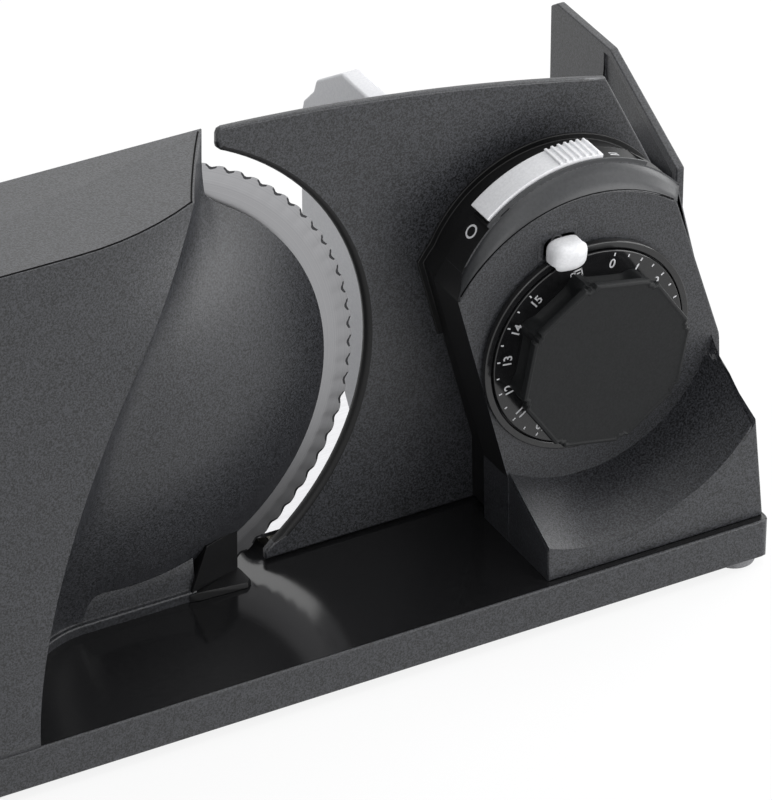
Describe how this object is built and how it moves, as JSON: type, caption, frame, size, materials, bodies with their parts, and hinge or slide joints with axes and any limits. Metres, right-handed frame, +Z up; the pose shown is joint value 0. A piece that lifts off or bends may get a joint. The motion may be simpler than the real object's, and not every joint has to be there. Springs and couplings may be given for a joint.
{
  "type": "electric food slicer",
  "caption": "Electric food slicer with a serrated round blade beside a motor housing, a dial-set stop plate and a sliding carriage with food holder.",
  "frame": {"origin": "centre of the base on the surface it stands on", "axes": "+Z up, +X along the carriage rail towards the dial end, -Y to the slice side"},
  "size_m": [0.34, 0.19, 0.1846],
  "materials": {
    "anthracite": "fine texture",
    "black_plastic": "satin",
    "table_gloss": "glossy",
    "rubber": "matte",
    "steel": "satin",
    "blade_steel": "turned",
    "plate_steel": "brushed",
    "aluminium": "cast",
    "dial_gloss": "glossy",
    "dial_satin": "satin",
    "white_plastic": "satin",
    "holder_plastic": "satin",
    "nylon": "natural",
    "brass": "plain",
    "copper": "enamelled",
    "motor_steel": "zinc",
    "magnet": "ferrite",
    "board": "lacquered"
  },
  "bodies": {
    "base": {"base_tray": "anthracite", "motor_housing": "anthracite", "housing_plinth": "anthracite", "control_housing": "anthracite", "dial_bezel": "anthracite", "slider_track": "anthracite", "housing_back": "black_plastic", "toe_guard": "black_plastic", "motor_end_cap": "black_plastic", "motor_brushes": "black_plastic", "switch_sensor": "black_plastic", "button_bracket": "black_plastic", "table_plate": "table_gloss", "rubber_feet": "rubber", "power_inlet": "rubber", "base_screws": "steel", "motor_screws": "steel", "blade_axle": "steel", "guide_rods": "steel", "carriage_rail": "steel", "rail_screws": "steel", "motor_can": "motor_steel", "motor_magnets": "magnet", "motor_bracket": "aluminium", "dial_bush": "nylon", "power_board": "board", "control_board": "board"},
    "blade": {"blade": "blade_steel", "blade_gear": "nylon", "gear_bush": "brass", "blade_screws": "steel", "blade_cap": "black_plastic"},
    "rotor": {"rotor_shaft": "steel", "rotor_core": "motor_steel", "rotor_coils": "copper", "commutator": "copper", "pinion": "brass"},
    "dial": {"dial_flange": "dial_gloss", "dial_knob": "dial_satin", "dial_sleeve": "nylon", "dial_clip": "steel"},
    "stop": {"stop_carrier": "aluminium", "carrier_bushes": "brass", "plate_screws": "steel", "lead_screw": "steel", "stop_plate": "anthracite", "plate_shroud": "anthracite"},
    "switch": {"switch_slider": "white_plastic", "slider_magnet": "magnet"},
    "button": {"lock_button": "white_plastic", "button_spring": "steel"},
    "carriage": {"carriage_floor": "plate_steel", "carriage_wall": "black_plastic", "carriage_glides": "nylon", "wall_screws": "steel", "holder_rail": "steel"},
    "holder": {"food_holder": "holder_plastic", "holder_spikes": "steel"}
  },
  "joints": [
    {"name": "blade_spin", "type": "hinge", "parent": "base", "child": "blade", "pos_m": [-0.04, -0.0365, 0.095], "axis": [0, 1, 0], "continuous": true},
    {"name": "rotor_spin", "type": "hinge", "parent": "base", "child": "rotor", "pos_m": [-0.09699, -0.06, 0.11027], "axis": [0, 1, 0], "continuous": true},
    {"name": "dial_turn", "type": "hinge", "parent": "base", "child": "dial", "pos_m": [0.1145, -0.0655, 0.087], "axis": [0, -1, 0], "range_deg": [0, 320]},
    {"name": "stop_slide", "type": "slide", "parent": "base", "child": "stop", "axis": [0, -1, 0], "range_m": [0, 0.01044]},
    {"name": "switch_slide", "type": "hinge", "parent": "base", "child": "switch", "pos_m": [0.1153, -0.0545, 0.1018], "axis": [0, 1, 0], "range_deg": [0, 18]},
    {"name": "button_press", "type": "slide", "parent": "base", "child": "button", "axis": [0, 1, 0], "range_m": [0, 0.0025], "stiffness_N_per_m": 500, "springref_m": -0.001, "deforming": ["button_spring"]},
    {"name": "carriage_slide", "type": "slide", "parent": "base", "child": "carriage", "axis": [-1, 0, 0], "range_m": [0, 0.15]},
    {"name": "holder_slide", "type": "slide", "parent": "carriage", "child": "holder", "axis": [0, 1, 0], "range_m": [0, 0.04]}
  ],
  "couplings": [
    {"joint": "rotor_spin", "follows": "blade_spin", "ratio": -7.4286},
    {"joint": "dial_turn", "follows": "stop_slide", "rad_per_m": 534.9}
  ]
}
